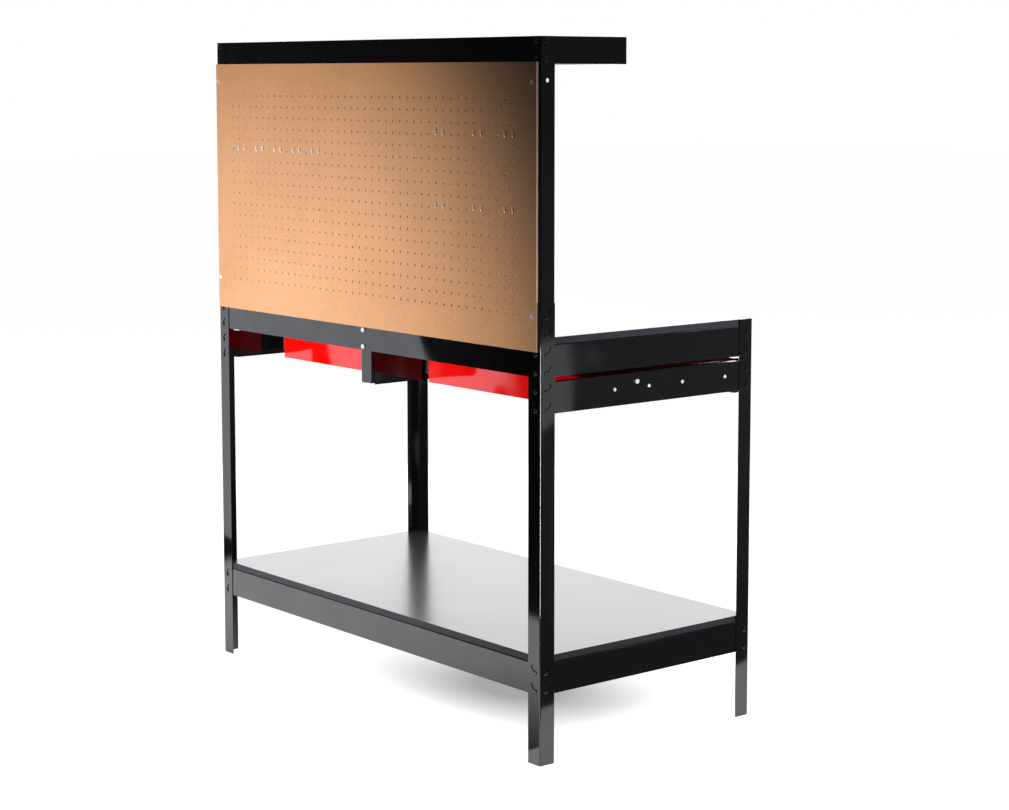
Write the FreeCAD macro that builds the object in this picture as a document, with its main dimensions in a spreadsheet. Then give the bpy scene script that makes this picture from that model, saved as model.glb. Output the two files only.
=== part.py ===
"""Steel workbench with two drawers, a pegboard back and a top shelf.

Millimetres, +Z up. The origin is on the floor under the middle of the bench.
The front faces -Y, and left and right are as seen from the front, so left is -X.
"""
import FreeCAD, Part
import math
import os
import re
import Sketcher

# Driving dimensions: name, value.
SIZES = {
    # the whole bench
    "width": 1200,
    "depth": 600,
    "overall_height": 1480,
    "worktop_height": 880,
    "lower_shelf_height": 227,
    "leg_end_margin": 11,
    # angle section of the legs and posts
    "angle_leg": 38,
    "angle_wall": 1.5,
    "angle_bend": 3,
    "post_leg": 36,
    # beams under the two boards
    "beam_height": 65,
    "beam_flange": 28,
    "beam_wall": 1.5,
    "beam_bend": 1.2,
    "beam_end_gap": 1,
    "flange_setback": 40,
    # boards
    "board_thickness": 15,
    "board_gap": 0.5,
    # rivets and the keyhole slots they hang in
    "rivet_pitch": 38,
    "rivet_edge": 8,
    "rivet_inset": 15,
    "rivet_radius": 3,
    "rivet_tenon_radius": 1.6,
    "rivet_head_radius": 4.5,
    "rivet_head_height": 2,
    "rivet_tail_radius": 4,
    "rivet_tail_height": 1.2,
    "rivet_clearance": 0.3,
    "slot_rise": 12,
    "slot_slant": 8,
    "slot_mouth_radius": 5,
    # top shelf
    "shelf_depth": 230,
    "shelf_rim": 55,
    "shelf_flange": 20,
    "shelf_sheet": 1.5,
    "shelf_rivet_pitch": 36,
    "shelf_gap": 0.5,
    # pegboard
    "peg_side_gap": 7.5,
    "peg_drop": 28,
    "peg_rivet_gap": 0.5,
    "peg_thickness": 5,
    "peg_pitch": 25.4,
    "peg_margin": 70,
    "peg_hole_radius": 2.8,
    "peg_bolt_inset": 19,
    "peg_lower_bolt_drop": 26,
    "peg_upper_bolt_drop": 40,
    "post_hole_radius": 4.2,
    "post_hole_drop": 87,
    # bolts and nuts
    "bolt_radius": 3,
    "bolt_clearance": 0.3,
    "bolt_head_radius": 5.5,
    "bolt_head_height": 3.5,
    "bolt_spare": 1.5,
    "nut_height": 4.5,
    # drawer runners, their spacers and screws
    "runner_gap": 10,
    "runner_height": 65,
    "runner_return": 12,
    "runner_tab": 34,
    "spacer_height": 46,
    "spacer_wall": 1.5,
    "screw_radius": 2,
    "screw_head_radius": 4,
    "screw_head_height": 2.2,
    "screw_length": 8,
    "screw_rear_margin": 46,
    "screw_front_margin": 36,
    "screw_step": 96,
    "clamp_bolt_margin": 107,
    "clamp_bolt_rise": 12,
    # hangers in the middle of the worktop beams
    "hanger_width": 38,
    "hanger_flange": 30,
    "hanger_rise": 3,
    "hanger_headroom": 1,
    "hanger_bolt_gap": 1.5,
    "hanger_bolt_offset": 8,
    "middle_runner_setback": 8,
    # telescopic slides
    "slide_length": 400,
    "slide_setback": 45,
    "slide_rise": 2.5,
    "slide_height": 45,
    "slide_depth": 12.7,
    "slide_wall": 1.2,
    "slide_clearance": 0.4,
    "slide_leg_gap": 2.3,
    # drawers
    "drawer_depth": 450,
    "drawer_drop": 5,
    "drawer_height": 65,
    "drawer_wall": 1,
    "front_drop": 6,
    "front_rise": 5,
    "front_wall": 1.2,
    "front_bend": 1,
    "front_return": 14,
    "front_gap": 2,
    # tool hooks of bent wire
    "hook_wire_radius": 2,
    "hook_bend": 3,
    "hook_rise": 11,
    "hook_reach": 60,
    "hook_tip": 14,
    "hook_plate_height": 14,
    "hook_plate_overhang": 5,
    "hook_plate_thickness": 1.5,
}

# Levels and faces that several pieces share, worked out from the sizes.
WORKTOP_BEAM_BOTTOM = "(worktop_height - board_thickness - beam_height)"
LOWER_BEAM_BOTTOM = "(lower_shelf_height - board_thickness - beam_height)"
RUNNER_BOTTOM = f"({WORKTOP_BEAM_BOTTOM} - runner_gap - runner_height)"
SLIDE_CENTRE = f"({RUNNER_BOTTOM} + runner_height/2 + slide_rise)"
DRAWER_BOTTOM = f"({RUNNER_BOTTOM} - drawer_drop)"
SHELF_BOTTOM = "(overall_height - shelf_rim)"
SHELF_RIVET_EDGE = "(shelf_rim - shelf_rivet_pitch)/2"
REAR_LEG_HEIGHT = (f"({WORKTOP_BEAM_BOTTOM} + rivet_edge + 3*rivet_pitch + slot_rise"
                   " + slot_mouth_radius + leg_end_margin)")
BEAM_FACE_X = "(width/2 - angle_wall)"
BEAM_FACE_Y = "(depth/2 - angle_wall)"
SHELF_FACE_X = "(width/2 - 2*angle_wall)"
SHELF_FACE_Y = "(depth/2 - 2*angle_wall)"
RUNNER_INNER_X = "(width/2 - angle_wall - beam_wall)"
OUTER_SLIDE_X = "(width/2 - angle_leg - slide_leg_gap)"
INNER_SLIDE_X = "(hanger_width/2 + beam_wall)"
SLIDE_FRONT_Y = "(slide_setback - depth/2)"
SLIDE_REAR_Y = f"({SLIDE_FRONT_Y} + slide_length)"
SLIDE_MIDDLE_Y = f"({SLIDE_FRONT_Y} + slide_length/2)"
PEG_HALF_WIDTH = "(width/2 - peg_side_gap)"
PEG_BOTTOM = "(worktop_height - peg_drop)"
PEG_TOP = f"({SHELF_BOTTOM} + {SHELF_RIVET_EDGE} - rivet_head_radius - peg_rivet_gap)"
PEG_BOLT_X = "(width/2 - peg_bolt_inset)"
PEG_LOWER_BOLT = f"({REAR_LEG_HEIGHT} - peg_lower_bolt_drop)"
PEG_UPPER_BOLT = f"({PEG_TOP} - peg_upper_bolt_drop)"
PEG_BOLTS = (PEG_LOWER_BOLT, PEG_UPPER_BOLT)
HANGER_BOTTOM = f"({RUNNER_BOTTOM} + hanger_rise)"
HANGER_TOP = "(worktop_height - board_thickness - beam_wall - hanger_headroom)"
HANGER_BOLTS = (f"({PEG_BOTTOM} - bolt_head_radius - hanger_bolt_gap)",
                f"({WORKTOP_BEAM_BOTTOM} + rivet_edge)")
CLAMP_BOLT_Y = f"({SLIDE_REAR_Y} - clamp_bolt_margin)"
CLAMP_BOLT_Z = f"({SLIDE_CENTRE} + clamp_bolt_rise)"

# Each hook's first column and row in the pegboard's grid, from the top row and from the bench's
# right, or from its left where the column is negative.
HOOK_GROUPS = {
    "tool_hooks_right": [(1, 5), (4, 5), (7, 5), (10, 5), (13, 5)],
    "tool_hooks_upper_left": [(-11, 3), (-6, 3), (-2, 3)],
    "tool_hooks_lower_left": [(-11, 9), (-6, 9), (-2, 9)],
}

X_AXIS = FreeCAD.Vector(1, 0, 0)
Y_AXIS = FreeCAD.Vector(0, 1, 0)
Z_AXIS = FreeCAD.Vector(0, 0, 1)
SIDES = {"left": -1, "right": 1}
ENDS = {"front": -1, "rear": 1}
# Edges this close to a place, in millimetres, are the ones meant there.
NEAR = 0.01

doc = FreeCAD.newDocument("workbench")
sheet = doc.addObject("Spreadsheet::Sheet", "sizes")
nodes = []


def fill_sheet():
    for row, (alias, value) in enumerate(SIZES.items(), 1):
        sheet.set(f"A{row}", alias)
        sheet.set(f"B{row}", str(value))
        sheet.setAlias(f"B{row}", alias)
    doc.recompute()


def named(expression):
    """Points every size named in an expression at the sheet."""
    return re.sub(r"[a-z_]+", r"sizes.\g<0>", str(expression))


def size(expression):
    """The value of an expression of sizes, in millimetres."""
    return float(sheet.evalExpression(named(expression)))


def node(item, label):
    """Names a finished sub-part and puts it on the list that is written out."""
    item.Label = label
    nodes.append(item)
    return item


def place(item, x="0", y="0", z="0", turn=0):
    """Turns an object about Z and ties its place to the sheet."""
    item.Placement = FreeCAD.Placement(FreeCAD.Vector(), FreeCAD.Rotation(Z_AXIS, turn))
    for axis, expression in zip("xyz", (x, y, z)):
        item.setExpression(f"Placement.Base.{axis}", named(expression))


def sketch_on(body, role):
    """An empty sketch on one of a body's own origin planes."""
    plane = next(f for f in body.Origin.OriginFeatures if f.Role == role)
    sketch = body.newObject("Sketcher::SketchObject", f"{body.Name}_sketch")
    sketch.AttachmentSupport = [(plane, "")]
    sketch.MapMode = "FlatFace"
    return sketch


def bind(sketch, constraint, expression):
    """Adds a constraint whose value follows an expression of sizes."""
    index = sketch.addConstraint(Sketcher.Constraint(*constraint, size(expression)))
    sketch.setExpression(f"Constraints[{index}]", named(expression))


def pin_point(sketch, geometry, end, u, v):
    bind(sketch, ("DistanceX", -1, 1, geometry, end), u)
    bind(sketch, ("DistanceY", -1, 1, geometry, end), v)


def draw_outline(sketch, points):
    """A closed outline of straight lines through points given as pairs of expressions."""
    corners = [FreeCAD.Vector(size(u), size(v), 0) for u, v in points]
    count = len(corners)
    for i in range(count):
        sketch.addGeometry(Part.LineSegment(corners[i], corners[(i + 1) % count]))
    for i in range(count):
        sketch.addConstraint(Sketcher.Constraint("Coincident", i, 2, (i + 1) % count, 1))
    for i, (u, v) in enumerate(points):
        pin_point(sketch, i, 1, u, v)


def draw_circle(sketch, u, v, radius):
    circle = Part.Circle(FreeCAD.Vector(size(u), size(v), 0), Z_AXIS, size(radius))
    index = sketch.addGeometry(circle)
    pin_point(sketch, index, 3, u, v)
    bind(sketch, ("Radius", index), radius)


def draw_keyhole(sketch, u, v):
    """A slanted keyhole: a narrow seat for the rivet, widening to a mouth its head passes through."""
    seat = (u, v, "rivet_radius + rivet_clearance")
    mouth = (f"{u} + slot_slant", f"{v} + slot_rise", "slot_mouth_radius")
    lean = math.atan2(size("slot_rise"), size("slot_slant"))
    narrowing = (size(seat[2]) - size(mouth[2])) / math.hypot(size("slot_rise"), size("slot_slant"))
    spread = math.acos(narrowing)

    def rim(end, angle):
        centre = FreeCAD.Vector(size(end[0]), size(end[1]), 0)
        return centre + size(end[2]) * FreeCAD.Vector(math.cos(angle), math.sin(angle), 0)

    def arc(end, start, stop):
        circle = Part.Circle(FreeCAD.Vector(size(end[0]), size(end[1]), 0), Z_AXIS, size(end[2]))
        return Part.ArcOfCircle(circle, start, stop)

    low, high = lean - spread, lean + spread
    first = sketch.GeometryCount
    sketch.addGeometry(arc(seat, high, low + 2 * math.pi))
    sketch.addGeometry(Part.LineSegment(rim(seat, low), rim(mouth, low)))
    sketch.addGeometry(arc(mouth, low, high))
    sketch.addGeometry(Part.LineSegment(rim(mouth, high), rim(seat, high)))
    for i in range(4):
        link = Sketcher.Constraint("Tangent", first + i, 2, first + (i + 1) % 4, 1)
        sketch.addConstraint(link)
    for geometry, end in ((first, seat), (first + 2, mouth)):
        pin_point(sketch, geometry, 3, end[0], end[1])
        bind(sketch, ("Radius", geometry), end[2])


def pad(body, role, points, length, symmetric=True):
    sketch = sketch_on(body, role)
    draw_outline(sketch, points)
    feature = body.newObject("PartDesign::Pad", f"{body.Name}_pad")
    feature.Profile = sketch
    feature.SideType = "Symmetric" if symmetric else "One side"
    feature.setExpression("Length", named(length))
    sketch.Visibility = False
    doc.recompute()
    return feature


def rectangle(u0, v0, u1, v1):
    return [(u0, v0), (u1, v0), (u1, v1), (u0, v1)]


def pierce(body, role, holes=(), keyholes=()):
    """Cuts round holes (u, v, radius) and keyhole slots (u, v) right through a body."""
    sketch = sketch_on(body, role)
    for u, v, radius in holes:
        draw_circle(sketch, u, v, radius)
    for u, v in keyholes:
        draw_keyhole(sketch, u, v)
    feature = body.newObject("PartDesign::Pocket", f"{body.Name}_pocket")
    feature.Profile = sketch
    feature.Type = "ThroughAll"
    feature.SideType = "Symmetric"
    sketch.Visibility = False
    before = body.Shape.Volume
    doc.recompute()
    if body.Shape.Volume >= before:
        raise RuntimeError(f"{body.Label}: the holes cut nothing")


def round_bend(body, base, along, position, radius):
    """Rounds the long edges that run along an axis through a position in the plane across it."""
    across = [axis for axis in "XYZ" if axis != along]
    edges = []
    for index, edge in enumerate(base.Shape.Edges, 1):
        box = edge.BoundBox
        run = getattr(box, f"{along}Length")
        spread = sum(getattr(box, f"{axis}Length") for axis in across)
        offset = max(abs(getattr(box.Center, axis.lower()) - p) for axis, p in zip(across, position))
        if run > 1 and spread < NEAR and offset < NEAR:
            edges.append(f"Edge{index}")
    fillet = body.newObject("PartDesign::Fillet", f"{body.Name}_bend")
    fillet.Base = (base, edges)
    fillet.setExpression("Radius", named(radius))
    doc.recompute()
    return fillet


def angle_post(label, leg, length, cuts_x, cuts_y):
    """An angle with its corner on the Z axis and flanges along +X and +Y.

    cuts_x and cuts_y hold the holes and the keyholes of the two flanges.
    """
    body = doc.addObject("PartDesign::Body", label)
    wall = "angle_wall"
    section = [("0", "0"), (leg, "0"), (leg, wall), (wall, wall), (wall, leg), ("0", leg)]
    shape = pad(body, "XY_Plane", section, length, symmetric=False)
    shape = round_bend(body, shape, "Z", (0, 0), "angle_bend")
    round_bend(body, shape, "Z", (size(wall), size(wall)), "angle_bend - angle_wall")
    pierce(body, "XZ_Plane", *cuts_x)
    pierce(body, "YZ_Plane", *cuts_y)
    return node(body, label)


def channel(label, run, flange_run, height, wall, bend, top, bottom=None):
    """A folded strip along X: an upright web with its outer face on Y = 0 and flanges towards +Y."""
    body = doc.addObject("PartDesign::Body", label)
    shape = pad(body, "YZ_Plane", rectangle("0", "0", wall, height), run)
    shape = pad(body, "YZ_Plane", rectangle("0", f"{height} - {wall}", top, height), flange_run)
    if bottom:
        shape = pad(body, "YZ_Plane", rectangle("0", "0", bottom, wall), flange_run)
        shape = round_bend(body, shape, "X", (0, 0), bend)
    round_bend(body, shape, "X", (0, size(height)), bend)
    return body


def turned_in(half, wall, depth):
    """Outline of a strip along X, outer face on Y = 0, with both ends turned in towards +Y."""
    return [(f"-{half}", "0"), (half, "0"), (half, depth), (f"{half} - {wall}", depth),
            (f"{half} - {wall}", wall), (f"{wall} - {half}", wall), (f"{wall} - {half}", depth),
            (f"-{half}", depth)]


def runner_body(label, half):
    """A folded strip along X with tabs turned in at its ends and lips along its upper and lower edges."""
    body = doc.addObject("PartDesign::Body", label)
    wall = "beam_wall"
    height = "runner_height"
    shape = pad(body, "XY_Plane", turned_in(half, wall, "runner_tab"), height, symmetric=False)
    for sign in ENDS.values():
        shape = round_bend(body, shape, "Z", (sign * size(half), 0), "angle_bend")
        inside = (sign * size(f"{half} - {wall}"), size(wall))
        shape = round_bend(body, shape, "Z", inside, "angle_bend - angle_wall")
    lip_run = f"2*({half} - flange_setback)"
    for low, high in (("0", wall), (f"{height} - {wall}", height)):
        shape = pad(body, "YZ_Plane", rectangle("0", low, "runner_return", high), lip_run)
    for level in ("0", height):
        shape = round_bend(body, shape, "X", (0, size(level)), "beam_bend")
    return body


def box(label, length, width, height, x, y, z):
    """A plain box whose lowest corner is at x, y, z."""
    item = doc.addObject("Part::Box", label)
    for name, expression in (("Length", length), ("Width", width), ("Height", height)):
        item.setExpression(name, named(expression))
    place(item, x, y, z)
    return item


def hollow_box(label, outer, inner):
    """A box with another box cut out of it."""
    item = doc.addObject("Part::Cut", label)
    item.Base = box(f"{label}_outside", *outer)
    item.Tool = box(f"{label}_inside", *inner)
    doc.recompute()
    return node(item, label)


def rivet_heights(bottom):
    """Heights of a beam's two rivets, from the height of its lower edge."""
    return [f"{bottom} + rivet_edge", f"{bottom} + rivet_edge + rivet_pitch"]


def leg_slot_heights():
    bottoms = [LOWER_BEAM_BOTTOM, RUNNER_BOTTOM, WORKTOP_BEAM_BOTTOM]
    return [height for bottom in bottoms for height in rivet_heights(bottom)]


def post_rivet_heights():
    """The slots that carry the upper posts go on up the rear leg at the same pitch."""
    top = rivet_heights(WORKTOP_BEAM_BOTTOM)[-1]
    return [f"{top} + rivet_pitch", f"{top} + 2*rivet_pitch"]


def make_legs():
    slots = [("rivet_inset", height) for height in leg_slot_heights()]
    post_slots = [("rivet_inset", height) for height in post_rivet_heights()]
    bolt_hole = [("peg_bolt_inset", PEG_LOWER_BOLT, "bolt_radius + bolt_clearance")]
    side_cuts = ((), slots + post_slots)
    back_cuts = (bolt_hole, slots)
    plain = ((), slots)
    for side, turn in (("left", 0), ("right", 90)):
        leg = angle_post(f"front_leg_{side}", "angle_leg", "worktop_height", plain, plain)
        place(leg, f"{SIDES[side]}*width/2", "-depth/2", "0", turn)
    left = angle_post("rear_leg_left", "angle_leg", REAR_LEG_HEIGHT, side_cuts, back_cuts)
    place(left, "-width/2", "depth/2", "0", 270)
    right = angle_post("rear_leg_right", "angle_leg", REAR_LEG_HEIGHT, back_cuts, side_cuts)
    place(right, "width/2", "depth/2", "0", 180)


def shelf_rivet_heights():
    low = f"{SHELF_BOTTOM} + {SHELF_RIVET_EDGE}"
    return [low, f"{low} + shelf_rivet_pitch"]


def make_upper_posts():
    """Posts nested in the rear legs, from the worktop up."""
    rivet_hole = "rivet_radius + rivet_clearance"
    bolt_hole = "bolt_radius + bolt_clearance"

    def on_post(inset, height, radius):
        return (f"{inset} - angle_wall", f"{height} - worktop_height", radius)

    shelf = [on_post("rivet_inset", height, rivet_hole) for height in shelf_rivet_heights()]
    joint = [on_post("rivet_inset", height, rivet_hole) for height in post_rivet_heights()]
    bolts = [on_post("peg_bolt_inset", height, bolt_hole) for height in PEG_BOLTS]
    spare = [on_post("peg_bolt_inset", "(overall_height - post_hole_drop)", "post_hole_radius")]
    side_cuts = (shelf + joint + spare,)
    back_cuts = (shelf + bolts,)
    length = "overall_height - worktop_height"
    left = angle_post("upper_post_left", "post_leg", length, side_cuts, back_cuts)
    place(left, f"-{BEAM_FACE_X}", BEAM_FACE_Y, "worktop_height", 270)
    right = angle_post("upper_post_right", "post_leg", length, back_cuts, side_cuts)
    place(right, BEAM_FACE_X, BEAM_FACE_Y, "worktop_height", 180)


def beam_holes(half_span, heights):
    """Rivet holes at both ends of a beam."""
    radius = "rivet_tenon_radius + rivet_clearance"
    places = (f"-({half_span} - rivet_inset)", f"{half_span} - rivet_inset")
    return [(u, height, radius) for u in places for height in heights]


def make_board_frame(name, bottom, board, top):
    """Four beams riveted inside the legs, and the board that lies on them clear of the upper posts."""
    heights = rivet_heights("0")
    long_run = f"2*({BEAM_FACE_X} - beam_end_gap)"
    short_run = f"2*({BEAM_FACE_Y} - beam_wall - beam_end_gap)"
    sides = (
        ("front", long_run, "width/2", "0", f"-{BEAM_FACE_Y}", 0),
        ("right", short_run, "depth/2", BEAM_FACE_X, "0", 90),
        ("rear", long_run, "width/2", "0", BEAM_FACE_Y, 180),
        ("left", short_run, "depth/2", f"-{BEAM_FACE_X}", "0", 270),
    )
    for side, run, half_span, x, y, turn in sides:
        flange_run = f"{run} - 2*flange_setback"
        label = f"{name}_beam_{side}"
        beam = channel(label, run, flange_run, "beam_height", "beam_wall", "beam_bend", "beam_flange")
        holes = beam_holes(half_span, heights)
        if name == "worktop" and side in ENDS:
            holes += hanger_bolt_holes(bottom, -ENDS[side])
        pierce(beam, "XZ_Plane", holes)
        place(beam, x, y, bottom, turn)
        node(beam, label)
    half_x = f"({BEAM_FACE_X} - angle_wall - rivet_tail_height - board_gap)"
    half_y = f"({BEAM_FACE_Y} - angle_wall - board_gap)"
    slab = box(board, f"2*{half_x}", f"2*{half_y}", "board_thickness",
               f"-{half_x}", f"-{half_y}", f"{top} - board_thickness")
    node(slab, board)


def hanger_bolt_holes(bottom, sense):
    radius = "bolt_radius + bolt_clearance"
    return [(f"{sense}*hanger_bolt_offset", f"{height} - {bottom}", radius) for height in HANGER_BOLTS]


def make_top_shelf():
    """A tray on the upper posts: four beams with flanges turned in below, and the panel on them."""
    heights = [SHELF_RIVET_EDGE, f"{SHELF_RIVET_EDGE} + shelf_rivet_pitch"]
    wall = "beam_wall"
    rear_run = f"2*({SHELF_FACE_X} - shelf_gap)"
    front_run = f"2*({SHELF_FACE_X} - {wall})"
    side_run = f"(shelf_depth - 2*angle_wall - {wall})"
    front_y = "(depth/2 - shelf_depth)"
    middle_y = f"({front_y} + {side_run}/2)"
    corner = "2*(shelf_flange + shelf_gap)"
    sides = (
        ("front", front_run, f"{front_run} - {corner}", "0", front_y, 0),
        ("right", side_run, f"{side_run} - 2*({wall} + shelf_gap)", SHELF_FACE_X, middle_y, 90),
        ("rear", rear_run, f"{rear_run} - {corner} - 2*{wall}", "0", SHELF_FACE_Y, 180),
        ("left", side_run, f"{side_run} - 2*({wall} + shelf_gap)", f"-{SHELF_FACE_X}", middle_y, 270),
    )
    radius = "rivet_tenon_radius + rivet_clearance"
    for side, run, flange_run, x, y, turn in sides:
        label = f"top_shelf_beam_{side}"
        beam = doc.addObject("PartDesign::Body", label)
        pad(beam, "YZ_Plane", rectangle("0", "0", wall, "shelf_rim"), run)
        shape = pad(beam, "YZ_Plane", rectangle("0", "0", "shelf_flange", wall), flange_run)
        round_bend(beam, shape, "X", (0, 0), "beam_bend")
        if side == "rear":
            pierce(beam, "XZ_Plane", beam_holes("width/2", heights))
        if side in SIDES:
            along = f"{-SIDES[side]}*(depth/2 - rivet_inset - {middle_y})"
            pierce(beam, "XZ_Plane", [(f"-({along})", height, radius) for height in heights])
        place(beam, x, y, SHELF_BOTTOM, turn)
        node(beam, label)
    inside_x = f"({SHELF_FACE_X} - {wall} - shelf_gap)"
    panel_depth = f"(shelf_depth - 2*angle_wall - 2*{wall} - 2*shelf_gap)"
    panel = box("top_shelf_panel", f"2*{inside_x}", panel_depth, "shelf_sheet", f"-{inside_x}",
                f"{front_y} + {wall} + shelf_gap", f"{SHELF_BOTTOM} + {wall}")
    node(panel, "top_shelf_panel")


def screw_places():
    """Places along Y of the four screws in each side runner."""
    first = f"{SLIDE_REAR_Y} - screw_rear_margin"
    last = f"{SLIDE_FRONT_Y} + screw_front_margin"
    return [first, f"{first} - screw_step", f"{first} - 2*screw_step", last]


def make_side_runners():
    """Runners between the legs on both sides, and the square spacers that carry the outer slides."""
    heights = rivet_heights("0")
    for side, sign in SIDES.items():
        label = f"side_runner_{side}"
        runner = runner_body(label, BEAM_FACE_Y)
        holes = beam_holes("depth/2", heights)
        holes += runner_fixing_holes(sign, "0", RUNNER_BOTTOM)
        pierce(runner, "XZ_Plane", holes)
        radius = "rivet_tenon_radius + rivet_clearance"
        pierce(runner, "YZ_Plane", [("rivet_inset - angle_wall", height, radius) for height in heights])
        turn = 90 if sign > 0 else 270
        place(runner, f"{sign}*{BEAM_FACE_X}", "0", RUNNER_BOTTOM, turn)
        node(runner, label)
        make_spacer(side, sign)


def runner_fixing_holes(sign, middle, bottom):
    """Holes of the slide screws and the clamp bolt in a piece along Y, from its middle and bottom."""
    level = f"{SLIDE_CENTRE} - {bottom}"
    holes = [(f"{sign}*({y} - {middle})", level, "screw_radius + bolt_clearance") for y in screw_places()]
    clamp_y = f"{sign}*({CLAMP_BOLT_Y} - {middle})"
    return holes + [(clamp_y, f"{CLAMP_BOLT_Z} - {bottom}", "bolt_radius + bolt_clearance")]


def make_spacer(side, sign):
    """A square tube along Y between a side runner and its slide, drilled for the screws."""
    label = f"slide_spacer_{side}"
    body = doc.addObject("PartDesign::Body", label)
    reach = f"({RUNNER_INNER_X} - {OUTER_SLIDE_X})"
    wall = "spacer_wall"
    pad(body, "YZ_Plane", rectangle("0", "0", reach, "spacer_height"), "slide_length")
    sketch = sketch_on(body, "YZ_Plane")
    draw_outline(sketch, rectangle(wall, wall, f"{reach} - {wall}", f"spacer_height - {wall}"))
    bore = body.newObject("PartDesign::Pocket", f"{label}_bore")
    bore.Profile = sketch
    bore.Type = "ThroughAll"
    bore.SideType = "Symmetric"
    doc.recompute()
    bottom = f"({SLIDE_CENTRE} - spacer_height/2)"
    pierce(body, "XZ_Plane", runner_fixing_holes(sign, SLIDE_MIDDLE_Y, bottom))
    turn = 90 if sign > 0 else 270
    place(body, f"{sign}*{RUNNER_INNER_X}", SLIDE_MIDDLE_Y, bottom, turn)
    node(body, label)


def make_hangers():
    """Channels bolted inside the front and rear worktop beams, and the middle runners between them."""
    half = "hanger_width/2"
    wall = "beam_wall"
    length = f"{HANGER_TOP} - {HANGER_BOTTOM}"
    hole = "rivet_radius + rivet_clearance"
    depth = "hanger_flange"
    for end, sign in ENDS.items():
        label = f"hanger_{end}"
        body = doc.addObject("PartDesign::Body", label)
        shape = pad(body, "XY_Plane", turned_in(half, wall, depth), length, symmetric=False)
        shape = round_bend(body, shape, "Z", (size(half), 0), "beam_bend")
        round_bend(body, shape, "Z", (-size(half), 0), "beam_bend")
        pierce(body, "XZ_Plane", hanger_bolt_holes(HANGER_BOTTOM, -sign))
        heights = [f"{height} - {HANGER_BOTTOM}" for height in rivet_heights(RUNNER_BOTTOM)]
        pierce(body, "YZ_Plane", [(f"{depth}/2", height, hole) for height in heights])
        place(body, "0", f"{sign}*({BEAM_FACE_Y} - {wall})", HANGER_BOTTOM, 0 if sign < 0 else 180)
        node(body, label)
    run = f"2*({BEAM_FACE_Y} - {wall} - middle_runner_setback)"
    rivets = f"({BEAM_FACE_Y} - {wall} - {depth}/2)"
    for side, sign in SIDES.items():
        label = f"middle_runner_{side}"
        body = doc.addObject("PartDesign::Body", label)
        pad(body, "YZ_Plane", rectangle("0", "0", wall, "runner_height"), run)
        ends = (rivets, f"-{rivets}")
        pierce(body, "XZ_Plane", [(u, height, hole) for u in ends for height in rivet_heights("0")])
        place(body, f"{sign}*{half}", "0", RUNNER_BOTTOM, 270 if sign > 0 else 90)
        node(body, label)


def slide_members():
    """Height, depth and distance from the fixed face of the three nested members of a slide."""
    step = "(slide_wall + slide_clearance)"
    reach = "slide_depth - slide_clearance"
    return {
        "rail": ("slide_height", reach, "0"),
        "middle": (f"slide_height - 2*{step}", f"{reach} - {step}", step),
        "runner": (f"slide_height - 4*{step}", f"slide_depth - 2*{step}", "slide_depth"),
    }


def make_slides():
    """Two telescopic slides to a drawer, each of three channels nested with a running clearance."""
    for side, sign in SIDES.items():
        for member, (height, reach, offset) in slide_members().items():
            pair = []
            for flank, face, inward in (("outer", OUTER_SLIDE_X, -sign), ("inner", INNER_SLIDE_X, sign)):
                opens = -inward if member == "runner" else inward
                label = f"slide_{member}_{side}_{flank}"
                run = "slide_length"
                body = channel(label, run, run, height, "slide_wall", "slide_wall/2", reach, reach)
                x = f"{sign}*{face} + {inward}*({offset})"
                place(body, x, SLIDE_MIDDLE_Y, f"{SLIDE_CENTRE} - ({height})/2", 270 if opens > 0 else 90)
                pair.append(body)
            both = doc.addObject("Part::Compound", f"slide_{member}s_{side}")
            both.Links = pair
            node(both, f"slide_{member}s_{side}")


def make_drawers():
    """Open sheet boxes between the slides, each with a folded front that has a finger lip below."""
    inner = f"({INNER_SLIDE_X} + slide_depth)"
    outer = f"({OUTER_SLIDE_X} - slide_depth)"
    start = "(front_wall - depth/2)"
    length = "(drawer_depth - front_wall)"
    wall = "drawer_wall"
    edge_inner = f"({INNER_SLIDE_X} + front_gap)"
    edge_outer = "(width/2 - angle_leg - front_gap)"
    for side, sign in SIDES.items():
        low = inner if sign > 0 else f"-{outer}"
        outside = (f"{outer} - {inner}", length, "drawer_height", low, start, DRAWER_BOTTOM)
        inside = (f"{outer} - {inner} - 2*{wall}", f"{length} - 2*{wall}", "drawer_height",
                  f"{low} + {wall}", f"{start} + {wall}", f"{DRAWER_BOTTOM} + {wall}")
        hollow_box(f"drawer_box_{side}", outside, inside)
        label = f"drawer_front_{side}"
        run = f"{edge_outer} - {edge_inner}"
        lip = "front_return"
        height = "(drawer_height + front_drop + front_rise)"
        front = channel(label, run, run, height, "front_wall", "front_bend", lip, lip)
        place(front, f"{sign}*({edge_inner} + {edge_outer})/2", "-depth/2", f"{DRAWER_BOTTOM} - front_drop")
        node(front, label)


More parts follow.
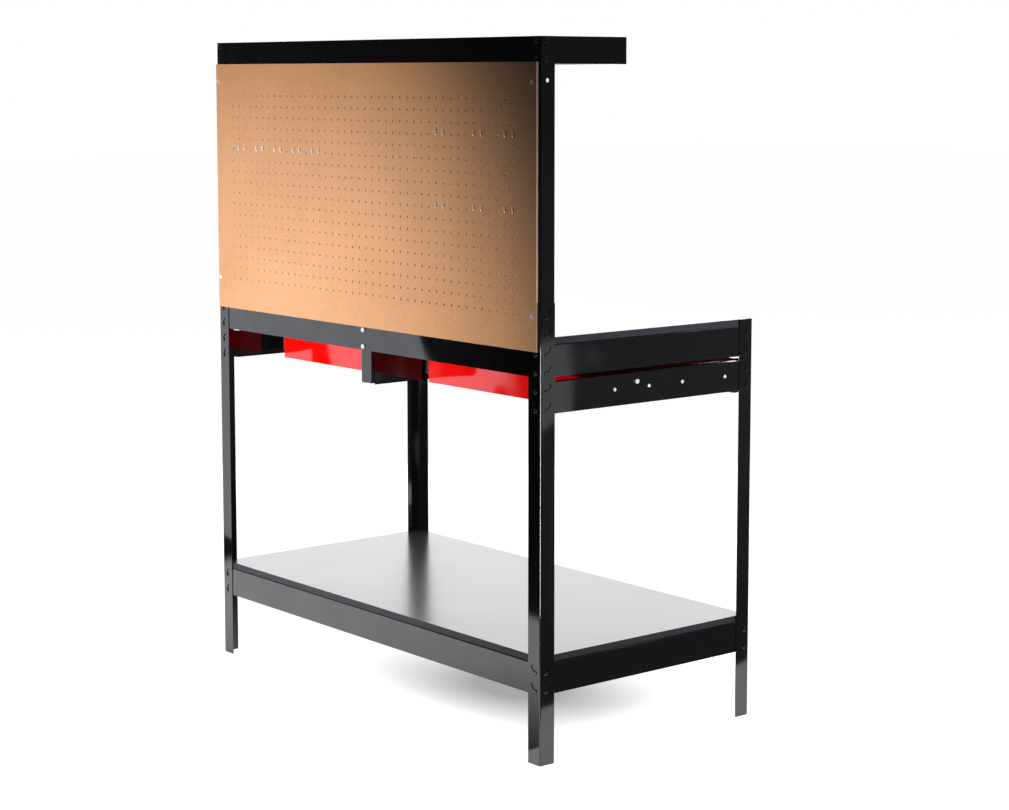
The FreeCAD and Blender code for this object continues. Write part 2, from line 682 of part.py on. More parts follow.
def make_pegboard():
    """A hardboard sheet with a square grid of holes and four bolt holes, cut as one holed face."""
    half = size(PEG_HALF_WIDTH)
    bottom, top = size(PEG_BOTTOM), size(PEG_TOP)
    back = size("depth/2")

    def ring(x, z, radius):
        circle = Part.Circle(FreeCAD.Vector(x, back, z), Y_AXIS, radius)
        return Part.Wire([circle.toShape()])

    corners = [(-half, bottom), (half, bottom), (half, top), (-half, top), (-half, bottom)]
    wires = [Part.makePolygon([FreeCAD.Vector(x, back, z) for x, z in corners])]
    columns, rows = peg_counts()
    for column in range(columns):
        for row in range(rows):
            x, z = peg_hole(column, row)
            wires.append(ring(x, z, size("peg_hole_radius")))
    for x in (-size(PEG_BOLT_X), size(PEG_BOLT_X)):
        for height in PEG_BOLTS:
            wires.append(ring(x, size(height), size("bolt_radius + bolt_clearance")))
    face = Part.Face(wires, "Part::FaceMakerBullseye")
    board = doc.addObject("Part::Feature", "pegboard")
    board.Shape = face.extrude(Y_AXIS * size("peg_thickness"))
    node(board, "pegboard")


def peg_counts():
    """Columns and rows of holes that fit inside the pegboard's margins."""
    columns = int(size(f"(2*{PEG_HALF_WIDTH} - 2*peg_margin)/peg_pitch")) + 1
    rows = int(size(f"({PEG_TOP} - {PEG_BOTTOM} - 2*peg_margin)/peg_pitch")) + 1
    return columns, rows


def peg_hole(column, row):
    """X and Z of a hole in the pegboard's grid, which is centred on the board."""
    pitch = size("peg_pitch")
    columns, rows = peg_counts()
    x = ((columns - 1) / 2 - column % columns) * pitch
    z = size(f"({PEG_TOP} + {PEG_BOTTOM})/2") + ((rows - 1) / 2 - row) * pitch
    return x, z


def rivet_shape(neck, tenon=0, head=True):
    """A rivet along +Z: head on Z = 0, a neck below it, a narrower tenon where there is one, and a tail."""
    grip = neck + tenon
    shape = Part.makeCylinder(size("rivet_radius"), neck, FreeCAD.Vector(0, 0, -neck))
    if tenon:
        end = FreeCAD.Vector(0, 0, -grip)
        shape = shape.fuse(Part.makeCylinder(size("rivet_tenon_radius"), tenon, end))
    tail_height = size("rivet_tail_height")
    end = FreeCAD.Vector(0, 0, -grip - tail_height)
    shape = shape.fuse(Part.makeCylinder(size("rivet_tail_radius"), tail_height, end))
    if head:
        height = size("rivet_head_height")
        dome = Part.makeCylinder(size("rivet_head_radius"), height)
        dome = round_top(dome, height, 0.8 * height)
        shape = shape.fuse(dome)
    return shape.removeSplitter()


def round_top(shape, level, radius):
    """Rounds the round edge of a shape at a level."""
    edges = [e for e in shape.Edges if max(abs(v - level) for v in (e.BoundBox.ZMin, e.BoundBox.ZMax)) < NEAR]
    return shape.makeFillet(radius, edges)


def hexagon(radius, height, base):
    """A six-sided prism along +Z, as wide across its corners as twice the radius."""
    angles = [math.radians(60 * i) for i in range(7)]
    points = [FreeCAD.Vector(radius * math.cos(a), radius * math.sin(a), base) for a in angles]
    return Part.Face(Part.makePolygon(points)).extrude(Z_AXIS * height)


def bolt_shape(grip):
    """A hexagon bolt along +Z, head on Z = 0, with a little thread past its nut."""
    length = grip + size("nut_height + bolt_spare")
    shank = Part.makeCylinder(size("bolt_radius"), length, FreeCAD.Vector(0, 0, -length))
    return shank.fuse(hexagon(size("bolt_head_radius"), size("bolt_head_height"), 0)).removeSplitter()


def nut_shape(grip):
    """The nut of a bolt, with the running clearance of its thread."""
    height = size("nut_height")
    body = hexagon(size("bolt_head_radius"), height, -grip - height)
    end = FreeCAD.Vector(0, 0, -grip - height)
    return body.cut(Part.makeCylinder(size("bolt_radius + bolt_clearance"), height, end))


def screw_shape():
    """A pan-head screw along +Z, head on Z = 0."""
    length = size("screw_length")
    height = size("screw_head_height")
    shank = Part.makeCylinder(size("screw_radius"), length, FreeCAD.Vector(0, 0, -length))
    head = round_top(Part.makeCylinder(size("screw_head_radius"), height), height, 0.7 * height)
    return shank.fuse(head).removeSplitter()


def group(label, shape, places):
    """Copies of one solid, each turned so that its +Z points outwards, as one sub-part."""
    copies = []
    for position, outward in places:
        turn = FreeCAD.Rotation(Z_AXIS, outward)
        copy = shape.copy()
        copy.Placement = FreeCAD.Placement(position, turn)
        copies.append(copy)
    item = doc.addObject("Part::Feature", label)
    item.Shape = Part.makeCompound(copies)
    return node(item, label)


def point(x, y, z):
    return FreeCAD.Vector(size(x), size(y), size(z))


def side_rivet_places(heights, ends=("front", "rear"), face="width/2"):
    """Rivets in the legs' side flanges, heads outwards along X."""
    return [(point(f"{sign}*{face}", f"{ENDS[end]}*(depth/2 - rivet_inset)", height), X_AXIS * sign)
            for sign in SIDES.values() for end in ends for height in heights]


def end_rivet_places(heights, ends=("front", "rear"), face="depth/2"):
    """Rivets in the legs' front and rear flanges, heads outwards along Y."""
    return [(point(f"{sign}*(width/2 - rivet_inset)", f"{ENDS[end]}*{face}", height), Y_AXIS * ENDS[end])
            for sign in SIDES.values() for end in ends for height in heights]


def make_rivets():
    beam_rivet = rivet_shape(size("angle_wall"), size("beam_wall"))
    levels = {
        "worktop_rivets": WORKTOP_BEAM_BOTTOM,
        "lower_shelf_rivets": LOWER_BEAM_BOTTOM,
        "side_runner_rivets": RUNNER_BOTTOM,
    }
    for name, bottom in levels.items():
        heights = rivet_heights(bottom)
        group(name, beam_rivet, side_rivet_places(heights) + end_rivet_places(heights))
    post_rivet = rivet_shape(size("2*angle_wall"))
    group("upper_post_rivets", post_rivet, side_rivet_places(post_rivet_heights(), ("rear",)))
    heights = shelf_rivet_heights()
    shelf_places = side_rivet_places(heights, ("rear",), BEAM_FACE_X)
    shelf_places += end_rivet_places(heights, ("rear",), BEAM_FACE_Y)
    group("top_shelf_rivets", beam_rivet, shelf_places)
    flush = rivet_shape(size("2*beam_wall"), head=False)
    along = f"({BEAM_FACE_Y} - beam_wall - hanger_flange/2)"
    heights = rivet_heights(RUNNER_BOTTOM)
    places = [(point(f"{sign}*{INNER_SLIDE_X}", f"{end}*{along}", height), X_AXIS * sign)
              for sign in SIDES.values() for end in ENDS.values() for height in heights]
    group("middle_runner_rivets", flush, places)


def make_bolts():
    peg_grip = size("peg_thickness + 2*angle_wall")
    face = "depth/2 + peg_thickness"
    peg_places = [(point(f"{sign}*{PEG_BOLT_X}", face, height), Y_AXIS)
                  for sign in SIDES.values() for height in PEG_BOLTS]
    group("pegboard_bolts", bolt_shape(peg_grip), peg_places)
    group("pegboard_nuts", nut_shape(peg_grip), peg_places)
    thickness = size("angle_wall")
    washer = Part.makeCylinder(size("bolt_head_radius"), thickness)
    washer = washer.cut(Part.makeCylinder(size("bolt_radius + bolt_clearance"), thickness))
    spacer_places = [(point(f"{sign}*{PEG_BOLT_X}", BEAM_FACE_Y, PEG_UPPER_BOLT), Y_AXIS)
                     for sign in SIDES.values()]
    group("pegboard_spacers", washer, spacer_places)
    hanger_grip = size("2*beam_wall")
    hanger_places = [(point("hanger_bolt_offset", f"{sign}*{BEAM_FACE_Y}", height), Y_AXIS * sign)
                     for sign in ENDS.values() for height in HANGER_BOLTS]
    group("hanger_bolts", bolt_shape(hanger_grip), hanger_places)
    group("hanger_nuts", nut_shape(hanger_grip), hanger_places)
    screws = [(point(f"{sign}*{BEAM_FACE_X}", y, SLIDE_CENTRE), X_AXIS * sign)
              for sign in SIDES.values() for y in screw_places()]
    group("slide_screws", screw_shape(), screws)
    clamp_grip = size("beam_wall + spacer_wall")
    clamps = [(point(f"{sign}*{BEAM_FACE_X}", CLAMP_BOLT_Y, CLAMP_BOLT_Z), X_AXIS * sign)
              for sign in SIDES.values()]
    group("clamp_bolts", bolt_shape(clamp_grip), clamps)
    group("clamp_nuts", nut_shape(clamp_grip), clamps)


def wire_along(corners):
    """A round wire through corners given in order, with each corner bent to one radius."""
    bend = size("hook_bend")
    edges = []
    start = corners[0]
    for before, corner, after in zip(corners, corners[1:], corners[2:]):
        back = (before - corner).normalize()
        ahead = (after - corner).normalize()
        middle = (back + ahead).normalize()
        entry = corner + back * bend
        leave = corner + ahead * bend
        crown = corner + middle * (bend * (math.sqrt(2) - 1))
        edges.append(Part.LineSegment(start, entry).toShape())
        edges.append(Part.Arc(entry, crown, leave).toShape())
        start = leave
    edges.append(Part.LineSegment(start, corners[-1]).toShape())
    path = Part.Wire(edges)
    direction = (corners[1] - corners[0]).normalize()
    section = Part.Wire([Part.Circle(corners[0], direction, size("hook_wire_radius")).toShape()])
    return path.makePipeShell([section], True, False)


def hook_shape():
    """A two-prong hook about the hole on its right: prongs through the board, bent up behind it,
    a plate in front of the board and one arm with an upturned tip."""
    pitch = size("peg_pitch")
    behind = size("peg_thickness + rivet_clearance + hook_wire_radius")
    thickness = size("hook_plate_thickness")
    shape = None
    for x in (0, -pitch):
        prong = wire_along([FreeCAD.Vector(x, -thickness, 0), FreeCAD.Vector(x, behind, 0),
                            FreeCAD.Vector(x, behind, size("hook_rise"))])
        shape = shape.fuse(prong) if shape else prong
    length = pitch + size("2*hook_wire_radius + 2*hook_plate_overhang")
    height = size("hook_plate_height")
    corner = FreeCAD.Vector(-pitch / 2 - length / 2, -thickness, -height / 2)
    plate = Part.makeBox(length, thickness, height, corner)
    reach = size("hook_reach")
    arm = wire_along([FreeCAD.Vector(-pitch / 2, 0, 0), FreeCAD.Vector(-pitch / 2, -reach, 0),
                      FreeCAD.Vector(-pitch / 2, -reach, size("hook_tip"))])
    return shape.fuse([plate, arm]).removeSplitter()


def make_hooks():
    shape = hook_shape()
    front = size("depth/2")
    for label, holes in HOOK_GROUPS.items():
        copies = []
        for column, row in holes:
            x, z = peg_hole(column, row)
            copies.append(shape.translated(FreeCAD.Vector(x, front, z)))
        item = doc.addObject("Part::Feature", label)
        item.Shape = Part.makeCompound(copies)
        node(item, label)


def check_and_write():
    doc.recompute()
    for item in doc.Objects:
        if "Invalid" in item.State or "Error" in item.State:
            raise RuntimeError(f"{item.Label} failed: {item.State}")
    for item in nodes:
        if item.Shape.isNull() or not item.Shape.isValid() or not item.Shape.Solids:
            raise RuntimeError(f"{item.Label} has no sound solid")
    os.makedirs("parts", exist_ok=True)
    for item in nodes:
        item.Shape.exportStep(f"parts/{item.Label}.step")
        print(item.Label, len(item.Shape.Solids), round(item.Shape.Volume))
    print(len(nodes), "nodes")


fill_sheet()
make_legs()
make_upper_posts()
make_board_frame("worktop", WORKTOP_BEAM_BOTTOM, "worktop_board", "worktop_height")
make_board_frame("lower", LOWER_BEAM_BOTTOM, "lower_shelf_board", "lower_shelf_height")
make_top_shelf()
make_side_runners()
make_hangers()
make_slides()
make_drawers()
make_pegboard()
make_rivets()
make_bolts()
make_hooks()
check_and_write()
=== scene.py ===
"""Finishes, detail pieces, floor, lamps and camera for the steel workbench.

Lengths are in metres in the bench's own frame: +Z up, -Y towards the front where the drawers open,
+X to the right as seen from the front, with the origin on the floor under the middle of the bench.
"""

import math

import bpy
from mathutils import Matrix, Vector


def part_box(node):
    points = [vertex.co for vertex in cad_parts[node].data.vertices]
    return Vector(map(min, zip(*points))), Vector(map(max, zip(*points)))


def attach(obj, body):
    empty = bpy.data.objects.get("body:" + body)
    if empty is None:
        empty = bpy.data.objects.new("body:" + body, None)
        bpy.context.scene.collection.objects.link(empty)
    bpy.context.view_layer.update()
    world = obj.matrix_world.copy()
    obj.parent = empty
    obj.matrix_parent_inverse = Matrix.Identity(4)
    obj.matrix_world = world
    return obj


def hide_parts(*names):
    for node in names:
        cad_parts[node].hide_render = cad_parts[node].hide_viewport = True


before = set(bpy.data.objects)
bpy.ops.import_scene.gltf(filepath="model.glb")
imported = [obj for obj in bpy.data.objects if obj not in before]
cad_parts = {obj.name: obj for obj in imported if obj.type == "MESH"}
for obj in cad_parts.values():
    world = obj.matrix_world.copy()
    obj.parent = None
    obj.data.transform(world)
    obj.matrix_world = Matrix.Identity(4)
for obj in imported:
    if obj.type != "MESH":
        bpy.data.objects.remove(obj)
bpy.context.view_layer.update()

bl_info = {
    "name": "Steel workbench",
    "version": (1, 0, 0),
    "blender": (4, 5, 0),
    "location": "3D View > Sidebar > Workbench",
    "description": "Finishes the nodes of a steel workbench and adds its boards, hems and studio",
    "category": "Object",
}

MM = 0.001
SIDES = ("left", "right")
DRAWER_BODY = {"left": "left_drawer", "right": "right_drawer"}
BOARDS = ("worktop_board", "lower_shelf_board")
ZINC_NODES = (
    "pegboard_bolts",
    "pegboard_nuts",
    "pegboard_spacers",
    "hanger_bolts",
    "hanger_nuts",
    "slide_screws",
    "clamp_bolts",
    "clamp_nuts",
    "tool_hooks_right",
    "tool_hooks_upper_left",
    "tool_hooks_lower_left",
)
SLIDE_MEMBERS = ("rails", "middles", "runners")
SLIDE_NODES = tuple(f"slide_{member}_{side}" for member in SLIDE_MEMBERS for side in SIDES)
DRAWER_NODES = tuple(f"drawer_{piece}_{side}" for piece in ("box", "front") for side in SIDES)
# Edges of the hems sharper than this, in degrees, stay crisp
HEM_CREASE = 40

# Sockets of a mix of two colours, by number, because the mixes of other kinds share their names
MIX_SHARE = 0
MIX_FIRST = 6
MIX_SECOND = 7
MIX_RESULT = 2

# Colours that belong to a finish and aren't set by themselves
DUST = "#8b8a88"
HARDBOARD_PATCH = "#8c5a33"
FLOOR_PAINT = "#e6e6e6"
FLOOR_UNSEEN = "#282828"
CARD_TINT = "#f6f9ff"
WHITE = (1.0, 1.0, 1.0, 1.0)
# How the hardboard's layers of hairs are turned in its plane
HAIR_TURNS = (0.0, math.pi / 3, 2 * math.pi / 3)

# The photograph's frame in pixels, and the camera that lines the bench up with it
IMAGE_WIDTH = 1009
SENSOR_WIDTH = 36.0
FOCAL_PIXELS = 2233.9
CAMERA_PLACE = (-3.9869, 3.1559, 1.3998)
CAMERA_YAW = 129.208
CAMERA_PITCH = -6.577
CAMERA_ROLL = 0.024
CAMERA_SHIFT = -0.07

# Each lamp's place, the point that it is turned to, its width and its height
LAMPS = {
    "backdrop_panel": ((2.3, -1.92, 1.25), (0.0, 0.0, 1.25), 3.2, 2.2),
    "key_softbox": ((-0.6, 2.27, 0.96), (1.18, 0.3, 0.2), 0.5, 0.5),
    "front_softbox": ((0.2, -2.4, 2.5), (0.0, -0.3, 0.7), 1.6, 1.2),
    "edge_strip": ((-1.37, 1.22, 0.34), (-0.6, 0.3, 0.57), 0.2, 0.72),
    "flank_card": ((-2.2, -1.055, 0.49), (-0.6, 0.24, 0.8), 0.22, 0.26),
    "key_card": ((1.38, 1.06, 0.63), (1.38, 0.0, 0.63), 1.15, 1.25),
    "side_softbox": ((-1.3, -0.2, 0.68), (-0.59, 0.02, 0.68), 0.4, 0.2),
    "top_softbox": ((0.0, -0.6, 3.4), (0.0, -0.3, 0.0), 2.4, 1.6),
    "floor_softbox": ((-2.2, 1.45, 1.85), (0.0, 0.0, 0.0), 1.6, 1.6),
}
# How far the narrow lamps spread, in degrees
KEY_SPREAD = 94.7
EDGE_SPREAD = 24

FLOOR_SIZE = 60
# The oval under the bench where the floor's painted glow is turned down so that the lamp's real shadow shows;
# the glow's rise towards its rim paints the shadow's fade
OVAL_SHIFT = (0.22, 0.17, 0.0)
OVAL_SCALE = (2.2, 3.3, 1.0)
# The painted glow that mirror images show on the floor: where it lies and how bright it is
POOL_DIRECTION = (0.45, 0.9, 0.0)
POOL_ASPECT = 0.72
STRIP_MIDDLE = -0.71
STRIP_REACH = 0.21
STRIP_LEVEL = 2.2
FRONT_DIRECTION = (0.58, -0.81, 0.0)
# Which way the room's lit walls lie in mirror images
BACK_DIRECTION = (0.77, -0.64, 0.0)
FLANK_DIRECTION = (-1.0, -0.2, 0.0)


def linear(code):
    """An sRGB hex colour as linear red, green and blue."""
    levels = [int(code[i : i + 2], 16) / 255 for i in (1, 3, 5)]
    return tuple(v / 12.92 if v <= 0.04045 else ((v + 0.055) / 1.055) ** 2.4 for v in levels)


def rgba(colour):
    return (*colour, 1.0)


def shade(colour, factor):
    """A colour made darker or paler, with its alpha."""
    return rgba([min(1.0, v * factor) for v in colour])


def per_mm(size):
    """The noise scale at which a pattern repeats about every size millimetres."""
    return 1.0 / (size * MM)


def colour_setting(name, description, code):
    return bpy.props.FloatVectorProperty(
        name=name, description=description, default=linear(code), size=3, min=0, max=1, subtype="COLOR"
    )


def length_setting(name, description, millimetres):
    return bpy.props.FloatProperty(
        name=name, description=description, default=millimetres * MM, min=0, unit="LENGTH", subtype="DISTANCE"
    )


def power_setting(name, description, watts):
    return bpy.props.FloatProperty(name=name, description=description, default=watts, min=0, unit="POWER")


class BenchFinish(bpy.types.PropertyGroup):
    """Colours of the bench's finishes."""

    frame_enamel: colour_setting("Frame enamel", "Stove enamel on the legs, beams and shelf", "#08080a")
    drawer_enamel: colour_setting("Drawer enamel", "Stove enamel on the drawers", "#dd0a07")
    board: colour_setting("Board", "Melamine face of the worktop and the lower shelf", "#2c2d30")
    edging: colour_setting("Edging", "Plastic band round the boards", "#303137")
    hardboard: colour_setting("Hardboard", "Smooth face of the pegboard", "#d09868")
    cut_hardboard: colour_setting("Cut hardboard", "Sawn edges of the pegboard", "#cdaa98")
    zinc: colour_setting("Zinc", "Bright zinc plate on bolts and hooks", "#eceef0")
    slide_steel: colour_setting("Slide steel", "Zinc-plated strip of the drawer slides", "#b4b8bd")


class BenchDetail(bpy.types.PropertyGroup):
    """Sizes of the detail that the scene adds."""

    board_round: length_setting("Board rounding", "Radius along the boards' edges", 1.2)
    hem_depth: length_setting("Hem depth", "Depth of the fold inside the drawers' rims", 9)
    drawer_wall: length_setting("Drawer sheet", "Thickness of the drawers' sheet and of its fold", 1)
    hem_round: length_setting("Hem rounding", "Radius along the fold's edges", 0.35)


class BenchStudio(bpy.types.PropertyGroup):
    """Levels of the studio light."""

    backdrop_light: power_setting("Backdrop panel", "Power of the panel beyond the bench", 31)
    key_light: power_setting("Key softbox", "Power of the softbox at the rear", 34)
    card_light: power_setting("Key card", "Power of the card that shows in the enamel", 8.4)
    side_light: power_setting("Side softbox", "Power of the softbox at the left end", 9.6)
    top_light: power_setting("Top softbox", "Power of the softbox overhead", 8)
    front_light: power_setting("Front softbox", "Power of the softbox at the front", 60)
    edge_light: power_setting("Edge strip", "Power of the strip that shows along the bends", 0.8)
    flank_light: power_setting("Flank card", "Power of the card that shows in the left end", 0.18)
    floor_light: power_setting("Floor softbox", "Power of the lamp that draws the floor's shadow", 125)
    room_fill: bpy.props.FloatProperty(
        name="Room fill", description="Strength of the light from all round", default=0.02, min=0
    )


def add_node(tree, kind, inputs=None, **settings):
    """Adds a shader node with its settings, and its inputs as values or links."""
    node = tree.nodes.new(kind)
    for name, value in settings.items():
        setattr(node, name, value)
    for key, value in (inputs or {}).items():
        if isinstance(value, bpy.types.NodeSocket):
            tree.links.new(value, node.inputs[key])
        else:
            node.inputs[key].default_value = value
    return node


def new_material(name):
    """An empty node material, its tree and its object coordinates."""
    material = bpy.data.materials.new(name)
    material.use_nodes = True
    tree = material.node_tree
    tree.nodes.clear()
    return material, tree, add_node(tree, "ShaderNodeTexCoord").outputs["Object"]


def stove_enamel(name, colour, lift):
    """Stove enamel on folded sheet steel: a wet-looking gloss with the faint orange peel of sprayed
    paint, the slow waves of thin sheet under it, clouds that lift its colour and a few dust specks."""
    material, tree, place = new_material(name)
    cloud = add_node(tree, "ShaderNodeTexNoise", {"Vector": place, "Scale": per_mm(140), "Detail": 3.0})
    rough = add_node(
        tree,
        "ShaderNodeMapRange",
        {"Value": cloud.outputs["Fac"], "From Min": 0.3, "From Max": 0.7, "To Min": 0.05, "To Max": 0.1},
    )
    clouded = add_node(
        tree,
        "ShaderNodeMix",
        {MIX_SHARE: cloud.outputs["Fac"], MIX_FIRST: rgba(colour), MIX_SECOND: shade(colour, lift)},
        data_type="RGBA",
    )
    # The specks are drawn coarser than real dust, which would be too fine to show
    speck = add_node(tree, "ShaderNodeTexNoise", {"Vector": place, "Scale": per_mm(3), "Detail": 2.0})
    dust = add_node(
        tree,
        "ShaderNodeMapRange",
        {"Value": speck.outputs["Fac"], "From Min": 0.72, "From Max": 0.8, "To Min": 0.0, "To Max": 0.12},
    )
    tone = add_node(
        tree,
        "ShaderNodeMix",
        {
            MIX_SHARE: dust.outputs[0],
            MIX_FIRST: clouded.outputs[MIX_RESULT],
            MIX_SECOND: rgba(linear(DUST)),
        },
        data_type="RGBA",
    )
    peel = add_node(tree, "ShaderNodeTexNoise", {"Vector": place, "Scale": per_mm(5), "Detail": 1.0})
    wave = add_node(tree, "ShaderNodeTexNoise", {"Vector": place, "Scale": per_mm(110), "Detail": 0.0})
    sheet = add_node(
        tree, "ShaderNodeBump", {"Strength": 0.8, "Distance": 3 * MM, "Height": wave.outputs["Fac"]}
    )
    bump = add_node(
        tree,
        "ShaderNodeBump",
        {
            "Strength": 0.25,
            "Distance": 0.04 * MM,
            "Height": peel.outputs["Fac"],
            "Normal": sheet.outputs[0],
        },
    )
    shader = add_node(
        tree,
        "ShaderNodeBsdfPrincipled",
        {
            "Base Color": tone.outputs[MIX_RESULT],
            "Roughness": rough.outputs[0],
            "IOR": 1.5,
            "Normal": bump.outputs[0],
        },
    )
    add_node(tree, "ShaderNodeOutputMaterial", {"Surface": shader.outputs[0]})
    return material


def melamine(name, colour):
    """Melamine paper pressed on chipboard: a dark satin face with a fine pearl grain."""
    material, tree, place = new_material(name)
    # The grain is drawn coarser than a real pearl grain, which would be too fine to show
    grain = add_node(tree, "ShaderNodeTexNoise", {"Vector": place, "Scale": per_mm(1.5), "Detail": 2.0})
    cloud = add_node(tree, "ShaderNodeTexNoise", {"Vector": place, "Scale": per_mm(220), "Detail": 4.0})
    tone = add_node(
        tree,
        "ShaderNodeMix",
        {MIX_SHARE: grain.outputs["Fac"], MIX_FIRST: shade(colour, 0.8), MIX_SECOND: shade(colour, 1.3)},
        data_type="RGBA",
    )
    rough = add_node(
        tree,
        "ShaderNodeMapRange",
        {"Value": cloud.outputs["Fac"], "From Min": 0.3, "From Max": 0.7, "To Min": 0.23, "To Max": 0.25},
    )
    bump = add_node(
        tree, "ShaderNodeBump", {"Strength": 0.15, "Distance": 0.02 * MM, "Height": grain.outputs["Fac"]}
    )
    shader = add_node(
        tree,
        "ShaderNodeBsdfPrincipled",
        {
            "Base Color": tone.outputs[MIX_RESULT],
            "Roughness": rough.outputs[0],
            "IOR": 1.55,
            "Coat Weight": 0.1,
            "Coat Roughness": 0.15,
            "Normal": bump.outputs[0],
        },
    )
    add_node(tree, "ShaderNodeOutputMaterial", {"Surface": shader.outputs[0]})
    return material


def plastic_edging(name, colour):
    """Extruded plastic band ironed on the boards' edges: satin, with faint lines along its length."""
    material, tree, place = new_material(name)
    lines = add_node(tree, "ShaderNodeMapping", {"Vector": place, "Scale": (0.02, 0.02, 1.0)})
    # The lines are drawn coarser than those of a real die, which would be too fine to show
    streak = add_node(
        tree, "ShaderNodeTexNoise", {"Vector": lines.outputs[0], "Scale": per_mm(1.2), "Detail": 2.0}
    )
    tone = add_node(
        tree,
        "ShaderNodeMix",
        {MIX_SHARE: streak.outputs["Fac"], MIX_FIRST: shade(colour, 0.85), MIX_SECOND: shade(colour, 1.2)},
        data_type="RGBA",
    )
    bump = add_node(
        tree, "ShaderNodeBump", {"Strength": 0.2, "Distance": 0.03 * MM, "Height": streak.outputs["Fac"]}
    )
    shader = add_node(
        tree,
        "ShaderNodeBsdfPrincipled",
        {
            "Base Color": tone.outputs[MIX_RESULT],
            "Roughness": 0.5,
            "Specular IOR Level": 0.15,
            "Normal": bump.outputs[0],
        },
    )
    add_node(tree, "ShaderNodeOutputMaterial", {"Surface": shader.outputs[0]})
    return material


def tempered_hardboard(name, colour, cut_colour):
    """Tempered hardboard: pressed wood fibre with a smooth brown face of tangled hairs and flecks,
    paler and duller where it is sawn."""
    material, tree, place = new_material(name)
    # The hairs are drawn coarser than real wood fibre, which would be too fine to show
    fibre = 0.0
    for turn in HAIR_TURNS:
        lay = add_node(
            tree,
            "ShaderNodeMapping",
            {"Vector": place, "Rotation": (0.0, turn, 0.0), "Scale": (1.0, 1.0, 0.25)},
        )
        hair = add_node(
            tree, "ShaderNodeTexNoise", {"Vector": lay.outputs[0], "Scale": per_mm(1.6), "Detail": 3.0}
        )
        share = add_node(
            tree,
            "ShaderNodeMath",
            {0: hair.outputs["Fac"], 1: 1.0 / len(HAIR_TURNS), 2: fibre},
            operation="MULTIPLY_ADD",
        )
        fibre = share.outputs[0]
    tangle = add_node(tree, "ShaderNodeMapRange", {"Value": fibre, "From Min": 0.36, "From Max": 0.64})
    hairy = add_node(
        tree,
        "ShaderNodeMix",
        {MIX_SHARE: tangle.outputs[0], MIX_FIRST: shade(colour, 0.86), MIX_SECOND: shade(colour, 1.12)},
        data_type="RGBA",
    )
    cloud = add_node(tree, "ShaderNodeTexNoise", {"Vector": place, "Scale": per_mm(180), "Detail": 5.0})
    patchy = add_node(
        tree,
        "ShaderNodeMapRange",
        {"Value": cloud.outputs["Fac"], "From Min": 0.35, "From Max": 0.65, "To Min": 0.0, "To Max": 0.12},
    )
    face = add_node(
        tree,
        "ShaderNodeMix",
        {
            MIX_SHARE: patchy.outputs[0],
            MIX_FIRST: hairy.outputs[MIX_RESULT],
            MIX_SECOND: rgba(linear(HARDBOARD_PATCH)),
        },
        data_type="RGBA",
    )
    facing = add_node(tree, "ShaderNodeNewGeometry").outputs["Normal"]
    across = add_node(tree, "ShaderNodeSeparateXYZ", {0: facing})
    flat = add_node(tree, "ShaderNodeMath", {0: across.outputs["Y"]}, operation="ABSOLUTE")
    sawn = add_node(tree, "ShaderNodeMath", {0: flat.outputs[0], 1: 0.5}, operation="LESS_THAN")
    tone = add_node(
        tree,
        "ShaderNodeMix",
        {MIX_SHARE: sawn.outputs[0], MIX_FIRST: face.outputs[MIX_RESULT], MIX_SECOND: rgba(cut_colour)},
        data_type="RGBA",
    )
    rough = add_node(
        tree, "ShaderNodeMapRange", {"Value": sawn.outputs[0], "To Min": 0.38, "To Max": 0.85}
    )
    bump = add_node(
        tree, "ShaderNodeBump", {"Strength": 0.3, "Distance": 0.05 * MM, "Height": tangle.outputs[0]}
    )
    shader = add_node(
        tree,
        "ShaderNodeBsdfPrincipled",
        {
            "Base Color": tone.outputs[MIX_RESULT],
            "Roughness": rough.outputs[0],
            "IOR": 1.5,
            "Normal": bump.outputs[0],
        },
    )
    add_node(tree, "ShaderNodeOutputMaterial", {"Surface": shader.outputs[0]})
    return material


def zinc_plate(name, colour, metallic, stretch=(1.0, 1.0, 1.0)):
    """Zinc plated on steel: a bright grey metal with soft cloudy patches, drawn out along strip. A thin
    white bloom on it scatters light, so it is a little less than all metal."""
    material, tree, place = new_material(name)
    drawn = add_node(tree, "ShaderNodeMapping", {"Vector": place, "Scale": stretch})
    cloud = add_node(
        tree, "ShaderNodeTexNoise", {"Vector": drawn.outputs[0], "Scale": per_mm(2.5), "Detail": 3.0}
    )
    tone = add_node(
        tree,
        "ShaderNodeMix",
        {MIX_SHARE: cloud.outputs["Fac"], MIX_FIRST: shade(colour, 0.82), MIX_SECOND: shade(colour, 1.08)},
        data_type="RGBA",
    )
    rough = add_node(
        tree,
        "ShaderNodeMapRange",
        {"Value": cloud.outputs["Fac"], "From Min": 0.3, "From Max": 0.7, "To Min": 0.28, "To Max": 0.4},
    )
    bump = add_node(
        tree, "ShaderNodeBump", {"Strength": 0.2, "Distance": 0.02 * MM, "Height": cloud.outputs["Fac"]}
    )
    shader = add_node(
        tree,
        "ShaderNodeBsdfPrincipled",
        {
            "Base Color": tone.outputs[MIX_RESULT],
            "Metallic": metallic,
            "Roughness": rough.outputs[0],
            "Normal": bump.outputs[0],
        },
    )
    add_node(tree, "ShaderNodeOutputMaterial", {"Surface": shader.outputs[0]})
    return material


def dress(nodes, material):
    """Gives CAD nodes a material."""
    for name in nodes:
        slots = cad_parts[name].data.materials
        slots.clear()
        slots.append(material)


def frame_nodes():
    """The enamelled steel of the frame: whatever isn't a board, a drawer, a slide or plated."""
    others = {"pegboard", *BOARDS, *ZINC_NODES, *SLIDE_NODES, *DRAWER_NODES}
    return [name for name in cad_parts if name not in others]


